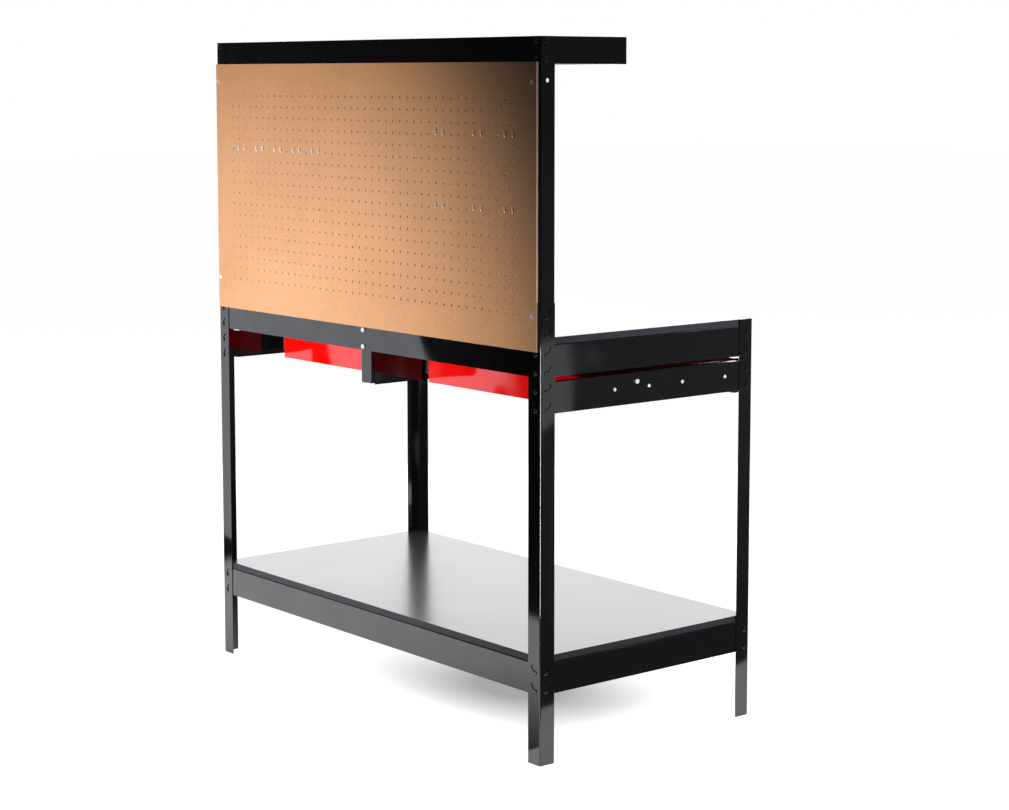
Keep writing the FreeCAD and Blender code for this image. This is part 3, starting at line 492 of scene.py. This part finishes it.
def start_box(name, low, high):
    """Adds a box between two corners as the only selected object."""
    bpy.ops.object.select_all(action="DESELECT")
    middle = (Vector(low) + Vector(high)) / 2
    bpy.ops.mesh.primitive_cube_add(size=1, location=middle, scale=Vector(high) - Vector(low))
    piece = bpy.context.object
    piece.name = name
    piece.data.name = name
    bpy.ops.object.transform_apply(location=True, rotation=True, scale=True)
    return piece


def select_faces(piece, upright):
    """Selects a box's upright faces, or its level ones, and no others."""
    bpy.ops.mesh.select_all(action="DESELECT")
    bpy.ops.mesh.select_mode(type="FACE")
    bpy.ops.object.mode_set(mode="OBJECT")
    for face in piece.data.polygons:
        face.select = (abs(face.normal.z) < 0.5) == upright
    bpy.ops.object.mode_set(mode="EDIT")


class BENCH_OT_frame(bpy.types.Operator):
    """Enamels the legs, posts, beams, runners, hangers, top shelf and rivets"""

    bl_idname = "bench.frame"
    bl_label = "Enamel the frame"

    def execute(self, context):
        finish = context.scene.bench_finish
        dress(frame_nodes(), stove_enamel("stove_enamel_black", finish.frame_enamel, lift=1.7))
        return {"FINISHED"}


class BENCH_OT_boards(bpy.types.Operator):
    """Models the two boards with rounded edges and a banded rim"""

    bl_idname = "bench.boards"
    bl_label = "Model the boards"

    def execute(self, context):
        finish = context.scene.bench_finish
        detail = context.scene.bench_detail
        face = melamine("melamine_dark_grey", finish.board)
        band = plastic_edging("plastic_edging_grey", finish.edging)
        for node in BOARDS:
            low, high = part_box(node)
            piece = start_box(f"{node}_faced", low, high)
            piece.data.materials.append(face)
            piece.data.materials.append(band)
            bpy.ops.object.mode_set(mode="EDIT")
            select_faces(piece, upright=True)
            piece.active_material_index = 1
            bpy.ops.object.material_slot_assign()
            bpy.ops.mesh.select_all(action="SELECT")
            bpy.ops.mesh.bevel(offset=detail.board_round, segments=3, affect="EDGES")
            bpy.ops.object.mode_set(mode="OBJECT")
            bpy.ops.object.shade_smooth()
            bpy.ops.object.modifier_add(type="WEIGHTED_NORMAL")
            bpy.ops.object.modifier_apply(modifier=piece.modifiers[0].name)
            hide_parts(node)
            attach(piece, "frame")
        return {"FINISHED"}


class BENCH_OT_drawers(bpy.types.Operator):
    """Enamels the drawers and folds a hem along their rims"""

    bl_idname = "bench.drawers"
    bl_label = "Finish the drawers"

    def execute(self, context):
        finish = context.scene.bench_finish
        detail = context.scene.bench_detail
        enamel = stove_enamel("stove_enamel_red", finish.drawer_enamel, lift=1.12)
        dress(DRAWER_NODES, enamel)
        for side in SIDES:
            low, high = (Vector(corner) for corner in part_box(f"drawer_box_{side}"))
            inset = Vector((detail.drawer_wall, detail.drawer_wall, 0))
            low.z = high.z - detail.hem_depth
            piece = start_box(f"drawer_hem_{side}", low + inset, high - inset)
            piece.data.materials.append(enamel)
            bpy.ops.object.mode_set(mode="EDIT")
            select_faces(piece, upright=False)
            bpy.ops.mesh.delete(type="FACE")
            bpy.ops.object.mode_set(mode="OBJECT")
            bpy.ops.object.modifier_add(type="SOLIDIFY")
            piece.modifiers[0].thickness = detail.drawer_wall
            piece.modifiers[0].use_even_offset = True
            bpy.ops.object.modifier_apply(modifier=piece.modifiers[0].name)
            bpy.ops.object.modifier_add(type="BEVEL")
            piece.modifiers[0].width = detail.hem_round
            piece.modifiers[0].segments = 2
            bpy.ops.object.modifier_apply(modifier=piece.modifiers[0].name)
            bpy.ops.object.shade_smooth_by_angle(angle=math.radians(HEM_CREASE))
            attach(piece, DRAWER_BODY[side])
        return {"FINISHED"}


class BENCH_OT_slides(bpy.types.Operator):
    """Plates the telescopic slides"""

    bl_idname = "bench.slides"
    bl_label = "Finish the slides"

    def execute(self, context):
        finish = context.scene.bench_finish
        strip = zinc_plate(
            "zinc_plated_strip_steel", finish.slide_steel, metallic=0.9, stretch=(1.0, 0.05, 1.0)
        )
        dress(SLIDE_NODES, strip)
        return {"FINISHED"}


class BENCH_OT_pegboard(bpy.types.Operator):
    """Gives the pegboard its pressed fibre"""

    bl_idname = "bench.pegboard"
    bl_label = "Finish the pegboard"

    def execute(self, context):
        finish = context.scene.bench_finish
        dress(["pegboard"], tempered_hardboard("tempered_hardboard", finish.hardboard, finish.cut_hardboard))
        return {"FINISHED"}


class BENCH_OT_hardware(bpy.types.Operator):
    """Plates the bolts, nuts, screws, spacers and tool hooks"""

    bl_idname = "bench.hardware"
    bl_label = "Finish the hardware"

    def execute(self, context):
        finish = context.scene.bench_finish
        dress(ZINC_NODES, zinc_plate("bright_zinc_plate", finish.zinc, metallic=0.45))
        return {"FINISHED"}


def painted_mirror_glow(tree, place):
    """How brightly the floor glows in mirror images alone, all painted reflection: a pool of light under the
    key softbox, a bright strip along the left end, a haze far out beyond it and a soft light before the
    bench."""
    # Painted reflections: this glow stands in for a lit floor, and no lamp makes it
    rearward = add_node(
        tree, "ShaderNodeVectorMath", {0: place, 1: POOL_DIRECTION}, operation="DOT_PRODUCT"
    )
    pool = add_node(
        tree,
        "ShaderNodeMapRange",
        {"Value": rearward.outputs["Value"], "From Min": -0.1, "From Max": 0.9, "To Min": 0.1, "To Max": 2.3},
        interpolation_type="SMOOTHSTEP",
    )
    axes = add_node(tree, "ShaderNodeSeparateXYZ", {0: place}).outputs
    sideways = add_node(tree, "ShaderNodeMath", {0: axes["X"], 1: POOL_ASPECT}, operation="MULTIPLY")
    outward = add_node(tree, "ShaderNodeMath", {0: sideways.outputs[0], 1: axes["Y"]}, operation="MAXIMUM")
    rim = add_node(
        tree,
        "ShaderNodeMapRange",
        {"Value": outward.outputs[0], "From Min": 1.0, "From Max": 1.06, "To Min": 1.0, "To Max": 0.0},
    )
    lit = add_node(tree, "ShaderNodeMath", {0: pool.outputs[0], 1: rim.outputs[0]}, operation="MULTIPLY")
    strip = add_node(
        tree, "ShaderNodeMath", {0: axes["X"], 1: STRIP_MIDDLE, 2: STRIP_REACH}, operation="COMPARE"
    )
    lit = add_node(
        tree,
        "ShaderNodeMath",
        {0: strip.outputs[0], 1: STRIP_LEVEL, 2: lit.outputs[0]},
        operation="MULTIPLY_ADD",
    )
    haze = add_node(
        tree,
        "ShaderNodeMapRange",
        {"Value": axes["X"], "From Min": -1.5, "From Max": -3.0, "To Min": 0.0, "To Max": 0.06},
    )
    lit = add_node(tree, "ShaderNodeMath", {0: lit.outputs[0], 1: haze.outputs[0]}, operation="ADD")
    forward = add_node(
        tree, "ShaderNodeVectorMath", {0: place, 1: FRONT_DIRECTION}, operation="DOT_PRODUCT"
    )
    front = add_node(
        tree,
        "ShaderNodeMapRange",
        {"Value": forward.outputs["Value"], "From Min": 0.3, "From Max": 1.5, "To Min": 0.0, "To Max": 0.5},
        interpolation_type="SMOOTHSTEP",
    )
    clear = add_node(tree, "ShaderNodeMapRange", {"Value": axes["X"], "From Min": -1.2, "From Max": -0.4})
    lit = add_node(
        tree,
        "ShaderNodeMath",
        {0: front.outputs[0], 1: clear.outputs[0], 2: lit.outputs[0]},
        operation="MULTIPLY_ADD",
    )
    return lit.outputs[0]


def white_floor():
    """A pale matt floor with a painted glow that makes it white for the camera, turned down in an oval under
    the bench so that the lamp's real shadow shows there, the glow's rise towards the oval's rim painting the
    shadow's fade.
    """
    bpy.ops.object.select_all(action="DESELECT")
    bpy.ops.mesh.primitive_plane_add(size=FLOOR_SIZE)
    floor = bpy.context.object
    floor.name = "floor"
    material, tree, place = new_material("matt_white_floor")
    oval = add_node(
        tree, "ShaderNodeMapping", {"Vector": place, "Location": OVAL_SHIFT, "Scale": OVAL_SCALE}
    )
    reach = add_node(tree, "ShaderNodeVectorMath", {0: oval.outputs[0]}, operation="LENGTH")
    # Painted glow for the camera: dim in the oval, where it paints the shadow's fade, and white beyond
    oval_glow = add_node(
        tree,
        "ShaderNodeMapRange",
        {"Value": reach.outputs["Value"], "From Min": 0.25, "From Max": 0.95, "To Min": 0.36, "To Max": 0.97},
    )
    path = add_node(tree, "ShaderNodeLightPath")
    direct = add_node(
        tree,
        "ShaderNodeMath",
        {0: path.outputs["Is Camera Ray"], 1: path.outputs["Is Transmission Ray"]},
        operation="MAXIMUM",
    )
    seen = add_node(tree, "ShaderNodeMath", {0: direct.outputs[0], 1: oval_glow.outputs[0]}, operation="MULTIPLY")
    mirrored = add_node(
        tree,
        "ShaderNodeMath",
        {0: path.outputs["Is Glossy Ray"], 1: painted_mirror_glow(tree, place)},
        operation="MULTIPLY",
    )
    # The floor's glow: painted glow for the camera, and painted reflections in mirror images
    lift = add_node(tree, "ShaderNodeMath", {0: seen.outputs[0], 1: mirrored.outputs[0]}, operation="MAXIMUM")
    paint = add_node(
        tree,
        "ShaderNodeMix",
        {
            MIX_SHARE: direct.outputs[0],
            MIX_FIRST: rgba(linear(FLOOR_UNSEEN)),
            MIX_SECOND: rgba(linear(FLOOR_PAINT)),
        },
        data_type="RGBA",
    )
    material.cycles.emission_sampling = "NONE"
    shader = add_node(
        tree,
        "ShaderNodeBsdfPrincipled",
        {
            "Base Color": paint.outputs[MIX_RESULT],
            "Roughness": 0.9,
            "Specular IOR Level": 0.0,
            "Emission Color": WHITE,
            "Emission Strength": lift.outputs[0],
        },
    )
    add_node(tree, "ShaderNodeOutputMaterial", {"Surface": shader.outputs[0]})
    floor.data.materials.append(material)
    return floor


def white_room(fill):
    """A white room with a soft fill for the shadows. In mirror images it is bright beyond the bench and
    dim behind the camera, with a faint light on the left and a soft ceiling."""
    world = bpy.data.worlds.new("white_room")
    world.use_nodes = True
    tree = world.node_tree
    tree.nodes.clear()
    place = add_node(tree, "ShaderNodeTexCoord").outputs["Generated"]
    away = add_node(tree, "ShaderNodeVectorMath", {0: place, 1: BACK_DIRECTION}, operation="DOT_PRODUCT")
    back = add_node(
        tree,
        "ShaderNodeMapRange",
        {"Value": away.outputs["Value"], "From Min": 0.3, "From Max": 0.85, "To Min": 0.03, "To Max": 1.0},
        interpolation_type="SMOOTHSTEP",
    )
    left = add_node(tree, "ShaderNodeVectorMath", {0: place, 1: FLANK_DIRECTION}, operation="DOT_PRODUCT")
    flank = add_node(
        tree,
        "ShaderNodeMapRange",
        {"Value": left.outputs["Value"], "From Min": 0.2, "From Max": 0.9, "To Min": 0.0, "To Max": 0.1},
    )
    walls = add_node(tree, "ShaderNodeMath", {0: back.outputs[0], 1: flank.outputs[0]}, operation="ADD")
    height = add_node(tree, "ShaderNodeSeparateXYZ", {0: place}).outputs["Z"]
    ceiling = add_node(
        tree,
        "ShaderNodeMapRange",
        {"Value": height, "From Min": 0.45, "From Max": 0.95, "To Min": 0.0, "To Max": 0.5},
        interpolation_type="SMOOTHSTEP",
    )
    lit = add_node(tree, "ShaderNodeMath", {0: walls.outputs[0], 1: ceiling.outputs[0]}, operation="ADD")
    path = add_node(tree, "ShaderNodeLightPath")
    direct = add_node(
        tree,
        "ShaderNodeMath",
        {0: path.outputs["Is Camera Ray"], 1: path.outputs["Is Transmission Ray"]},
        operation="MAXIMUM",
    )
    indirect = add_node(
        tree, "ShaderNodeMix", {"Factor": path.outputs["Is Glossy Ray"], "A": fill, "B": lit.outputs[0]}
    )
    strength = add_node(
        tree, "ShaderNodeMath", {0: direct.outputs[0], 1: indirect.outputs[0]}, operation="MAXIMUM"
    )
    world.cycles.sampling_method = "NONE"
    glow = add_node(tree, "ShaderNodeBackground", {"Color": WHITE, "Strength": strength.outputs[0]})
    add_node(tree, "ShaderNodeOutputWorld", {"Surface": glow.outputs[0]})
    bpy.context.scene.world = world


def softbox(name, power, spread=180, mirrored=True, lights=True):
    """A rectangular lamp that no camera sees, turned to a point. It can be left out of mirror
    images, or show in them alone."""
    place, aim, width, height = LAMPS[name]
    lamp = bpy.data.lights.new(name, "AREA")
    lamp.shape = "RECTANGLE"
    lamp.size = width
    lamp.size_y = height
    lamp.energy = power
    lamp.spread = math.radians(spread)
    holder = bpy.data.objects.new(name, lamp)
    holder.location = place
    holder.rotation_euler = (Vector(aim) - Vector(place)).to_track_quat("-Z", "Y").to_euler()
    holder.visible_camera = False
    holder.visible_glossy = mirrored
    holder.visible_diffuse = lights
    bpy.context.scene.collection.objects.link(holder)
    return holder


def link_light(lamp, floor, state):
    """Makes a lamp light the floor alone, or all but the floor."""
    lit = bpy.data.collections.new(f"{lamp.name}_lit")
    lit.objects.link(floor)
    lit.collection_objects[0].light_linking.link_state = state
    lamp.light_linking.receiver_collection = lit


def photo_camera():
    """The camera at the photograph's place and angle."""
    yaw, pitch, roll = (math.radians(angle) for angle in (CAMERA_YAW, CAMERA_PITCH, CAMERA_ROLL))
    ahead = Vector((math.sin(yaw) * math.cos(pitch), math.cos(yaw) * math.cos(pitch), math.sin(pitch)))
    level = ahead.cross(Vector((0, 0, 1))).normalized()
    down = ahead.cross(level)
    right = math.cos(roll) * level + math.sin(roll) * down
    up = math.sin(roll) * level - math.cos(roll) * down
    lens = bpy.data.cameras.new("camera")
    lens.sensor_width = SENSOR_WIDTH
    lens.lens = FOCAL_PIXELS / IMAGE_WIDTH * SENSOR_WIDTH
    lens.shift_y = CAMERA_SHIFT
    camera = bpy.data.objects.new("camera", lens)
    turn = Matrix((right, up, -ahead)).transposed().to_4x4()
    camera.matrix_world = Matrix.Translation(CAMERA_PLACE) @ turn
    bpy.context.scene.collection.objects.link(camera)
    bpy.context.scene.camera = camera


class BENCH_OT_stage(bpy.types.Operator):
    """Sets the floor, the room, the lamps and the camera"""

    bl_idname = "bench.stage"
    bl_label = "Set the stage"

    def execute(self, context):
        studio = context.scene.bench_studio
        floor = white_floor()
        white_room(studio.room_fill)
        softbox("backdrop_panel", studio.backdrop_light)
        key = softbox("key_softbox", studio.key_light, spread=KEY_SPREAD, mirrored=False)
        link_light(key, floor, "EXCLUDE")
        front = softbox("front_softbox", studio.front_light)
        link_light(front, floor, "EXCLUDE")
        softbox("edge_strip", studio.edge_light, spread=EDGE_SPREAD, lights=False)
        softbox("flank_card", studio.flank_light, lights=False)
        card = softbox("key_card", studio.card_light, lights=False)
        card.data.color = linear(CARD_TINT)
        side = softbox("side_softbox", studio.side_light, mirrored=False)
        link_light(side, floor, "EXCLUDE")
        softbox("top_softbox", studio.top_light)
        shadow = softbox("floor_softbox", studio.floor_light, mirrored=False)
        link_light(shadow, floor, "INCLUDE")
        photo_camera()
        context.scene.view_settings.view_transform = "Standard"
        return {"FINISHED"}


class BENCH_PT_panel(bpy.types.Panel):
    """The workbench's settings and steps."""

    bl_idname = "BENCH_PT_panel"
    bl_label = "Workbench"
    bl_space_type = "VIEW_3D"
    bl_region_type = "UI"
    bl_category = "Workbench"

    def draw(self, context):
        for settings in (
            context.scene.bench_finish,
            context.scene.bench_detail,
            context.scene.bench_studio,
        ):
            column = self.layout.column()
            for name in settings.__annotations__:
                column.prop(settings, name)
        for step in STEPS:
            self.layout.operator(step.bl_idname)


GROUPS = {"bench_finish": BenchFinish, "bench_detail": BenchDetail, "bench_studio": BenchStudio}
STEPS = (
    BENCH_OT_frame,
    BENCH_OT_boards,
    BENCH_OT_drawers,
    BENCH_OT_slides,
    BENCH_OT_pegboard,
    BENCH_OT_hardware,
    BENCH_OT_stage,
)


def register():
    for kind in (*GROUPS.values(), *STEPS, BENCH_PT_panel):
        bpy.utils.register_class(kind)
    for name, kind in GROUPS.items():
        setattr(bpy.types.Scene, name, bpy.props.PointerProperty(type=kind))


def unregister():
    for name in GROUPS:
        delattr(bpy.types.Scene, name)
    for kind in reversed((*GROUPS.values(), *STEPS, BENCH_PT_panel)):
        bpy.utils.unregister_class(kind)


def main():
    register()
    bpy.ops.bench.frame()
    bpy.ops.bench.boards()
    bpy.ops.bench.drawers()
    bpy.ops.bench.slides()
    bpy.ops.bench.pegboard()
    bpy.ops.bench.hardware()
    bpy.ops.bench.stage()


if __name__ == "__main__":
    main()
